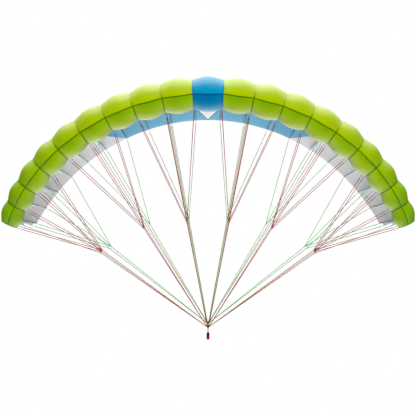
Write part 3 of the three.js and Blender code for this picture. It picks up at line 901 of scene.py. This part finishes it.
# Tape: strips, cloth, slot
tapeSet = {
    "nose_tape_lime": (noseStrips(limeSpans), greenTape, "lime_cloth"),
    "nose_tape_blue": (noseStrips([(-ribAngles[1], ribAngles[1])]), blueTape, "blue_cloth"),
    "batten_pockets_and_crease_shade_lime": (limePocketsAndCreaseShade, greenPocketAndCreaseShade, "lime_cloth"),
    "batten_pockets_blue": (bluePockets, blueTape, "blue_cloth"),
    "seam_tapes_blue": (blueSeams, blueTape, "blue_cloth"),
    "seam_tapes_grey": (greySeams, slateTape, "grey_cloth"),
    "inlay_edges": (inlayStrips(), navyTape, "white_cloth"),
}
for tapeName, made in tapeSet.items():
    addTape(tapeName, *made, tapes["thick"])
print("tapes sewn on")

# Cords: round tubes along a path, and knots
knot = {"steps": 36, "sides": 6, "lean": (0.3, 1, 0.2)}


def putTube(basket, path, radius, sides=8, closed=False):
    path = np.asarray(path, float)
    radius = np.broadcast_to(np.asarray(radius, float), len(path))
    ahead = np.roll(path, -1, 0) - np.roll(path, 1, 0)
    if not closed:
        ahead[0], ahead[-1] = path[1] - path[0], path[-1] - path[-2]
    ahead /= np.linalg.norm(ahead, axis=1, keepdims=True)
    aside = (0, 1, 0) if abs(ahead[0][1]) < 0.9 else (1, 0, 0)  # well off the path
    first = np.cross(ahead[0], aside)
    normals = [first / np.linalg.norm(first)]
    for heading in ahead[1:]:
        turned = normals[-1] - heading * normals[-1].dot(heading)
        normals.append(turned / np.linalg.norm(turned))
    around = np.arange(sides)[:, None] * 2 * math.pi / sides
    normals = np.array(normals)[:, None]
    ring = normals * np.cos(around) + np.cross(ahead[:, None], normals) * np.sin(around)
    points = path[:, None] + ring * radius[:, None, None]
    run = runLength(np.concatenate([path, path[:1]]) if closed else path, 0)
    step, spot = np.meshgrid(np.arange(len(run) - 1), np.arange(sides), indexing="ij")
    here, after, beside = step * sides, (step + 1) % len(path) * sides, (spot + 1) % sides
    faces = np.stack([here + spot, here + beside, after + beside, after + spot], -1).reshape(-1, 4).tolist()
    across = np.stack([spot, spot + 1, spot + 1, spot], -1) / sides
    along = np.stack([run[step], run[step], run[step + 1], run[step + 1]], -1)
    corners = np.stack([across, along], -1).reshape(-1, 2).tolist()
    if not closed:  # flat ends
        ends = np.arange(sides)
        faces += [ends[::-1].tolist(), (ends + (len(path) - 1) * sides).tolist()]
        corners += [(0.5, run[0])] * sides + [(0.5, run[-1])] * sides
    put(basket, points, faces, corners)


def putKnot(basket, centre, heading, size, strand):  # a tight overhand knot
    heading = np.asarray(heading) / np.linalg.norm(heading)
    one = np.cross(heading, knot["lean"])
    one /= np.linalg.norm(one)
    two = np.cross(heading, one)
    turn = np.linspace(0, 2 * math.pi, knot["steps"], endpoint=False)[:, None]
    flatOne = (np.sin(turn) + 2 * np.sin(2 * turn)) / 3
    flatTwo = (np.cos(turn) - 2 * np.cos(2 * turn)) / 3
    path = centre + size * (flatOne * one + flatTwo * heading - np.sin(3 * turn) / 2 * two)
    putTube(basket, path, strand, knot["sides"], closed=True)


# Hand bar frame: +Z points to the front end, +Y up along the leaders; then it is tilted into place
bar = {
    "length": 0.36, "radius": 0.012, "tilt": 6.4, "cap": 0.02, "capEdge": 0.003, "gap": 0.0003,
    "redShare": 0.6, "sides": 48,
}
leader = {
    "radius": 0.003, "sides": 12, "steps": 40, "seat": 0.009, "hitches": 0.086, "overHitches": 0.0035,
    "stopper": 0.00475, "stopperLength": 0.014, "turns": 4.5, "turnSteps": 100, "end": 0.004,
}
barTurn = Matrix.Rotation(math.radians(90 - bar["tilt"]), 4, "X")
frontEnd = bar["length"] / 2
leaderPlace = frontEnd - bar["cap"] / 2


def onBar(points):
    turned = np.asarray(barTurn.to_3x3())
    return np.asarray(points, float) @ turned.T


# Lines: ribs in groups, each group on one knot at a share of the way up from the bar
lineSet = {
    "upper": 0.0023, "main": 0.0024, "knot": 0.0034, "knotStrand": 0.0013,
    "hitchKnot": 0.0026, "hitchSpace": 0.0069, "hitchStrand": 0.0012,
    "hitchTop": 0.001, "hitchStep": 0.0024, "loopSteps": 24, "loopDrop": 0.0052,
    "eyeLength": 0.02, "eyeHalf": 0.003, "eyeStrand": 0.001, "eyeSteps": 20, "strandSides": 6,
    "splice": 0.045, "spliceRadius": 0.0026, "spliceTaper": 0.012, "spliceNeck": 0.003, "spliceIn": 0.001,
}
lineGroups = (((1, 2, 3), 0.495), ((4, 5, 6), 0.545), ((7, 8, 9, 10), 0.604))
# Row: leader end, turn of its hitch round the leader, cover, slot
lineRows = {
    "a": ("front", 225, redCover, "red_line"),
    "b": ("front", 135, redCover, "red_line"),
    "c": ("rear", 240, oliveCover, "olive_line"),
    "d": ("rear", 180, oliveCover, "olive_line"),
    "tail": ("rear", 120, greenCover, "green_line"),
}
# Rows of the outer group on the hitch of another row: that row, the inner rib's share, cover, slot
movedRows = {"c": ("b", 0.55, oliveCover, "olive_line"), "d": ("tail", 0.77, greenCover, "green_line")}


def tabEdge(rib, side, row):  # middle of a tab's lower edge and the way up into the rib
    tab = next((entry for entry in tabsOf(rib) if entry[0] == row), None)
    if tab is None:
        return None
    angle = side * ribAngles[rib]
    low = ribLower(angle, tab[1], tab[2])
    return ontoArch(angle, low[0], low[1]), np.array([math.sin(angle), 0, math.cos(angle)])


def putUpperLine(basket, start, edge, up):  # strand, splice and eye through the tab's loop
    top = edge - up * lineSet["loopDrop"]
    heading = (top - start) / np.linalg.norm(top - start)
    chordwise = np.array([0.0, 1.0, 0.0])
    chordwise -= heading * chordwise.dot(heading)
    chordwise /= np.linalg.norm(chordwise)
    turn = np.linspace(0, 2 * math.pi, lineSet["eyeSteps"], endpoint=False)[:, None]
    below = heading * lineSet["eyeLength"] / 2 * (np.cos(turn) - 1)
    eye = top + below + chordwise * lineSet["eyeHalf"] * np.sin(turn)
    putTube(basket, eye, lineSet["eyeStrand"], lineSet["strandSides"], closed=True)
    spliceTop = top - heading * (lineSet["eyeLength"] - lineSet["spliceIn"])
    spliceEnd = spliceTop - heading * lineSet["splice"]
    path = [start, spliceEnd, spliceEnd + heading * lineSet["spliceTaper"],
            spliceTop - heading * lineSet["spliceNeck"], spliceTop]
    sizes = ("upper", "upper", "spliceRadius", "spliceRadius", "eyeStrand")
    putTube(basket, path, [lineSet[size] for size in sizes])


def putGroup(basket, row, side, hitch, ribs, share, weights=None):  # a main line, its knot and strands
    edges = [found for found in (tabEdge(rib, side, row) for rib in ribs) if found]
    if len(edges) == 1:
        putUpperLine(basket, hitch, *edges[0])
        return
    aim = np.average([edge for edge, up in edges], axis=0, weights=weights)
    meeting = hitch + (aim - hitch) * share
    putTube(basket, [hitch, meeting], lineSet["main"])
    putKnot(basket, meeting, aim - hitch, lineSet["knot"], lineSet["knotStrand"])
    for edge, up in edges:
        putUpperLine(basket, meeting, edge, up)


def aroundLeader(row, side, reach, level):  # a place beside the leader that carries a row
    end, turn = lineRows[row][:2]
    swing = math.radians(turn)
    place = leaderPlace if end == "front" else -leaderPlace
    return onBar([-side * reach * math.cos(swing), level, place - reach * math.sin(swing)])


def hitchOf(row, side):
    return aroundLeader(row, side, lineSet["hitchSpace"], leader["hitches"])


def putHitch(basket, row, side, level):  # a knot beside the leader and a loop round it
    hitch = hitchOf(row, side)
    strand = lineSet["hitchStrand"]
    putKnot(basket, hitch, onBar([0, 1, 0]), lineSet["hitchKnot"], strand)
    around = np.linspace(0, 2 * math.pi, lineSet["loopSteps"], endpoint=False)
    reach = leader["radius"] + strand
    loop = np.stack([np.cos(around), np.zeros_like(around), np.sin(around)], -1) * reach
    axis = aroundLeader(row, side, 0, level)
    putTube(basket, axis + onBar(loop), strand, lineSet["strandSides"], closed=True)
    putTube(basket, [aroundLeader(row, side, reach, level), hitch], strand, lineSet["strandSides"])


def finishLines(basket, name, cover, slot, node):
    piece = empty(basket, name, cover)
    pick(piece)
    bpy.ops.object.shade_smooth()
    dress(piece, slot, node)


def addLines(number, row, sideName):
    side = wingSides[sideName]
    cover, slot = lineRows[row][2:]
    basket = newBasket()
    place = 2 * (number % 3) + (side > 0)  # loops lie one under the other
    putHitch(basket, row, side, leader["hitches"] + lineSet["hitchTop"] - lineSet["hitchStep"] * place)
    for ribs, share in lineGroups[:2] if row in movedRows else lineGroups:
        putGroup(basket, row, side, hitchOf(row, side), ribs, share)
    finishLines(basket, f"{row}_lines_{sideName}", cover, slot, f"lines_{row}_{sideName}")


def addMovedLines(row, sideName):
    carrier, inner, cover, slot = movedRows[row]
    side = wingSides[sideName]
    basket = newBasket()
    putGroup(basket, row, side, hitchOf(carrier, side), *lineGroups[2], (inner, 1 - inner))
    finishLines(basket, f"{row}_lines_outer_{sideName}", cover, slot, f"lines_{carrier}_{sideName}")


for sideName in wingSides:
    for number, row in enumerate(lineRows):
        addLines(number, row, sideName)
    for row in movedRows:
        addMovedLines(row, sideName)
print("lines tied: 10 sets")

# Tab loops: folded webbing sewn to both faces of a rib
tabLoop = {
    "width": 0.010, "sewn": 0.022, "sewnFrom": 0.001, "drop": 0.0075, "off": 0.0012, "bow": 0.0026,
    "bowDrop": 0.45, "turnDrop": 0.85, "turnBow": 0.75, "tailShare": 0.4, "thick": 0.0008,
}


def foldedLoop():  # sideways and upward places round a loop, from one face of the rib to the other
    off, bow, drop = tabLoop["off"], tabLoop["bow"], tabLoop["drop"]
    half = [(off, tabLoop["sewn"]), (off, tabLoop["sewnFrom"]), (bow, -drop * tabLoop["bowDrop"]),
            (bow * tabLoop["turnBow"], -drop * tabLoop["turnDrop"])]
    return np.array([*half, (0, -drop), *((-across, up) for across, up in half[::-1])])


def loopStrips(side):
    fold = foldedLoop()
    halves = np.array([-0.5, 0.5])
    for rib in range(1, tipRib + 1):
        angle = side * ribAngles[rib]
        sideways = np.array([math.cos(angle), 0, -math.sin(angle)])
        for row in [tab[0] for tab in tabsOf(rib)]:
            edge, up = tabEdge(rib, side, row)
            high = tabLoop["tailShare"] if row == "tail" else 1.0  # the rib is shallow at the tail
            rise = np.where(fold[:, 1] > tabLoop["sewnFrom"], fold[:, 1] * high, fold[:, 1])
            middle = edge + fold[:, :1] * sideways + rise[:, None] * up
            points = middle[:, None] + halves[None, :, None] * tabLoop["width"] * np.array([0, 1, 0])
            yield points, halves, runLength(points, 0)


for sideName, side in wingSides.items():
    addTape(f"tab_loops_{sideName}", loopStrips(side), greyWebbing, "rib_cloth", tabLoop["thick"])
print("tab loops sewn: 76")

# Grips: foam sleeves with ring grooves
grip = {"groove": 0.009, "grooveHalf": 0.0012, "grooveDepth": 0.0007, "edge": 0.0008, "edgeSteps": 3}
# Caps: hard ends with a rounded rim, a ring groove and the leader's hole
cap = {
    "hole": 0.0033, "holeSides": 32, "drill": 0.02, "rim": 0.0004, "rimSteps": 2, "rimAngle": 60,
    "grooveFrom": 0.0035, "grooveHalf": 0.0006, "grooveDepth": 0.0006, "edgeSteps": 5,
}


def ringCut(place, size=1.0):  # cuts a ring and scales it about the bar's axis
    bpy.ops.mesh.select_all(action="SELECT")
    bpy.ops.mesh.bisect(plane_co=(0, 0, place), plane_no=(0, 0, 1))
    if size != 1:
        bpy.ops.transform.resize(value=(size, size, 1), center_override=(0, 0, place))


def cutGroove(place, sizes):  # both rims first, then the floor between them
    ringCut(place - sizes["grooveHalf"])
    ringCut(place + sizes["grooveHalf"])
    ringCut(place, 1 - sizes["grooveDepth"] / bar["radius"])


def endRings(piece, places):  # selects the round edges at the given places
    shape = bmesh.from_edit_mesh(piece.data)
    for edge in shape.edges:
        heights = [(piece.matrix_world @ spot.co).z for spot in edge.verts]
        edge.select_set(any(np.allclose(heights, place, 0, tolerance["ring"]) for place in places))
    bmesh.update_edit_mesh(piece.data)


def cylinder(sides, radius, depth, place, turn=(0, 0, 0)):
    deselectAll()
    bpy.ops.mesh.primitive_cylinder_add(vertices=sides, radius=radius, depth=depth,
                                        location=place, rotation=turn)
    return bpy.context.object


def startOnBar(name, outer, inner, rounded, edge, edgeSteps):  # with rounded ends, left in edit mode
    piece = cylinder(bar["sides"], bar["radius"], abs(outer - inner), (0, 0, (outer + inner) / 2))
    piece.name = piece.data.name = name
    bpy.ops.object.mode_set(mode="EDIT")
    bpy.ops.mesh.select_mode(type="EDGE")
    endRings(piece, rounded)
    bpy.ops.mesh.bevel(offset=edge, segments=edgeSteps, affect="EDGES")
    return piece


def finishOnBar(piece, material, slot, node):
    piece.data.materials.append(material)
    pick(piece)
    piece.matrix_world = barTurn @ piece.matrix_world
    bpy.ops.object.transform_apply(location=True, rotation=True, scale=True)
    smooth("bar")
    dress(piece, slot, node)


def addGrip(name, front, length, material, slot, node):
    rear = front - length
    sleeve = startOnBar(name, front, rear, (front, rear), grip["edge"], grip["edgeSteps"])
    count = int(length / grip["groove"])
    for number in range(1, count):
        cutGroove(rear + length * number / count, grip)
    bpy.ops.object.mode_set(mode="OBJECT")
    finishOnBar(sleeve, material, slot, node)


def drillHole(piece, way):  # the leader's seat
    height = bar["radius"] - leader["seat"] + cap["drill"] / 2
    drill = cylinder(cap["holeSides"], cap["hole"], cap["drill"], (0, height, way * leaderPlace),
                     (math.pi / 2, 0, 0))
    modify(piece, "BOOLEAN", operation="DIFFERENCE", solver="EXACT", object=drill)
    bpy.data.objects.remove(drill)


def addCap(name, way, material, slot, node):
    outer = way * frontEnd
    inner = way * (frontEnd - bar["cap"])
    piece = startOnBar(name, outer, inner, (outer,), bar["capEdge"], cap["edgeSteps"])
    cutGroove(inner + way * cap["grooveFrom"], cap)
    bpy.ops.object.mode_set(mode="OBJECT")
    drillHole(piece, way)
    modify(piece, "BEVEL", width=cap["rim"], segments=cap["rimSteps"], limit_method="ANGLE",
           angle_limit=math.radians(cap["rimAngle"]))
    finishOnBar(piece, material, slot, node)


gripLength = bar["length"] - 2 * bar["cap"] - 3 * bar["gap"]
redLength = gripLength * bar["redShare"]
redStart = frontEnd - bar["cap"] - bar["gap"]
blackStart = redStart - redLength - bar["gap"]
addGrip("grip_sleeve_front", redStart, redLength, redFoam, "red_grip", "bar_grip_front")
addGrip("grip_sleeve_rear", blackStart, gripLength - redLength, blackFoam, "black_grip", "bar_grip_rear")
addCap("cap_front", 1, redPlastic, "red_grip", "bar_cap_front")
addCap("cap_rear", -1, blackPlastic, "black_grip", "bar_cap_rear")
print("bar made: two grips, two caps")


# Leaders: braided cord out of each cap, with a wound stopper knot above the hitches
def addLeader(name, way, node):
    basket = newBasket()
    foot = bar["radius"] - leader["seat"] + bar["gap"]
    top = leader["hitches"] + leader["overHitches"]
    place = way * leaderPlace
    heights = np.linspace(foot, top + leader["stopperLength"] + leader["end"], leader["steps"])
    path = np.stack([np.zeros_like(heights), heights, np.full_like(heights, place)], -1)
    putTube(basket, onBar(path), leader["radius"], leader["sides"])
    turn = np.linspace(0, 2 * math.pi * leader["turns"], leader["turnSteps"])
    strand = leader["stopper"] - leader["radius"]
    reach = leader["stopper"] - strand / 2
    rise = top + strand / 2 + (leader["stopperLength"] - strand) * turn / turn[-1]
    wound = np.stack([reach * np.cos(turn), rise, place + reach * np.sin(turn)], -1)
    putTube(basket, onBar(wound), strand / 2)
    piece = empty(basket, name, blackCover)
    pick(piece)
    smooth("cloth")
    dress(piece, "leader_cord", node)


addLeader("leader_cord_front", 1, "leader_front")
addLeader("leader_cord_rear", -1, "leader_rear")
print("leaders made")

# Studio: white surround, pale floor below the bar; only glossy rays see the bright ceiling and ground
studio = {
    "surround": 1.0, "dome": 0.06, "sideShade": 1.0, "ceilingShade": 1.3, "groundShade": 2.8,
    "ceiling": 2.2, "ceilingFrom": 0.65, "ceilingFull": 1.1, "ceilingBack": 0.75,
    "ground": 4.0, "groundFrom": 0.78, "groundFull": 1.1, "groundBack": 0.65,
    "floor": 14, "floorPlace": (0, 2, -1.3), "floorGlow": 0.58, "floorColour": (0.8, 0.8, 0.8, 1),
    "white": (1, 1, 1, 1), "lampAim": (0, 0.2, 1.5), "firstLitRib": 5,
}
# Soft lights that leave no mirrored spots
lamps = {
    "key_light": {"place": (0.5, -5.0, 4.6), "size": 3, "watts": 245},
    "top_light": {"place": (0.0, 0.0, 6.0), "size": 4, "watts": 80},
    "left_light": {"place": (-5.0, 0.5, 5.0), "size": 3, "watts": 150},
    "right_light": {"place": (5.0, 0.5, 5.0), "size": 3, "watts": 125},
    "rib_light": {"place": (0.0, 0.3, 0.8), "size": 0.5, "watts": 88, "kind": "POINT"},
}


def sideShade(sideways, amount):  # darker to the left and right
    across = work("MULTIPLY", work("MULTIPLY", sideways, sideways), amount)
    return work("MAXIMUM", work("SUBTRACT", 1.0, across), 0.0)


def brightPatch(part, sideways, rearward, upward):  # seen by glossy rays alone
    patch = work("MULTIPLY_ADD", rearward, studio[part + "Back"], upward)
    patch = smoothRise(patch, studio[part + "From"], studio[part + "Full"], studio[part])
    return work("MULTIPLY", patch, sideShade(sideways, studio[part + "Shade"]))


def addWorld():
    world = bpy.data.worlds.new("studio")
    bpy.context.scene.world = world
    world.use_nodes = True
    world.cycles.sampling_method = "NONE"  # each ray kind sees its own surround
    tree = world.node_tree
    ray = addNode(tree, "LightPath").outputs
    sideways, rearward, upward = partsOf(addNode(tree, "TexCoord").outputs["Generated"])
    dome = work("MULTIPLY", sideShade(sideways, studio["sideShade"]), studio["dome"])
    above = brightPatch("ceiling", sideways, rearward, upward)
    below = brightPatch("ground", sideways, rearward, work("MULTIPLY", upward, -1.0))
    lit = blendNumbers(ray["Is Glossy Ray"], dome, work("ADD", above, below))
    seen = blendNumbers(ray["Is Camera Ray"], lit, studio["surround"])
    backdrop = tree.nodes["Background"]
    tree.links.new(seen, backdrop.inputs["Strength"])
    backdrop.inputs["Color"].default_value = studio["white"]


def addLight(name, place, size, watts, kind="AREA"):
    lamp = bpy.data.lights.new(name, kind)
    if kind == "AREA":
        lamp.size = size
    else:
        lamp.shadow_soft_size = size / 2
    lamp.energy = watts
    holder = linked(name, lamp)
    holder.location = place
    holder.visible_glossy = False
    holder.visible_camera = False
    holder.rotation_euler = (Vector(studio["lampAim"]) - Vector(place)).to_track_quat("-Z", "Y").to_euler()


def addFloor():
    deselectAll()
    bpy.ops.mesh.primitive_plane_add(size=studio["floor"], location=studio["floorPlace"])
    floor = bpy.context.object
    floor.name = "floor"
    bpy.ops.object.transform_apply(location=True)
    material, tree = freshMaterial("floor_paper", roughness=0.9, specularIorLevel=0.0,
                                   baseColor=studio["floorColour"], emissionColor=studio["white"],
                                   emissionStrength=studio["floorGlow"])
    paper = addNode(tree, "Emission").outputs[0]  # the camera sees it as plain white
    ray = addNode(tree, "LightPath").outputs["Is Camera Ray"]
    either = addNode(tree, "MixShader", ray, principled(tree).outputs[0], paper).outputs[0]
    tree.links.new(either, tree.nodes["Material Output"].inputs["Surface"])
    floor.data.materials.append(material)
    floor.visible_glossy = False


def lightRibs(holder):  # light thrown back into the outer cells: it reaches their ribs alone
    lit = bpy.data.collections.new("ribs_lit")
    for rib in range(studio["firstLitRib"], tipRib + 1):
        for sideName in wingSides:
            lit.objects.link(bpy.data.objects[f"rib_panel_{sideName}_{rib}"])
    holder.light_linking.receiver_collection = lit


addWorld()
for lampName, lamp in lamps.items():
    addLight(lampName, **lamp)
lightRibs(bpy.data.objects["rib_light"])
addFloor()
bpy.context.scene.view_settings.view_transform = "Standard"
print("studio lit")
